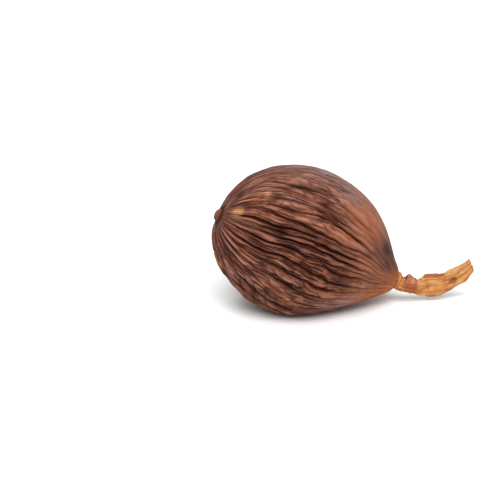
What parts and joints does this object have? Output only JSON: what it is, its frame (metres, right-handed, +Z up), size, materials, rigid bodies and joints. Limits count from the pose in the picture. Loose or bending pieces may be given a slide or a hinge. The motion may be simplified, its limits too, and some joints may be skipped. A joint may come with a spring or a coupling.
{
  "type": "black cardamom pod",
  "caption": "Dried black cardamom pod on its side: a fat ridged husk tapering to a neck, a torn curved stalk and a withered scale round its foot.",
  "frame": {"origin": "on the flat spot that the pod rests on, under its centre of mass", "axes": "+Z up; +X level, from the blossom end towards the stalk; the pod's own axis dips 26 degrees below +X"},
  "size_m": [0.0496, 0.0279, 0.0275],
  "materials": {
    "husk": "dry leathery plant skin, dark reddish brown, soft satin sheen on the ridges, nearly black in the furrows",
    "stalk": "dry fibrous stalk, tan orange, matt",
    "bract_scale": "dry papery scale, pinkish brown, matt"
  },
  "bodies": {
    "root": {"husk": "husk", "stalk": "stalk", "bract_scale": "bract_scale"}
  },
  "joints": []
}
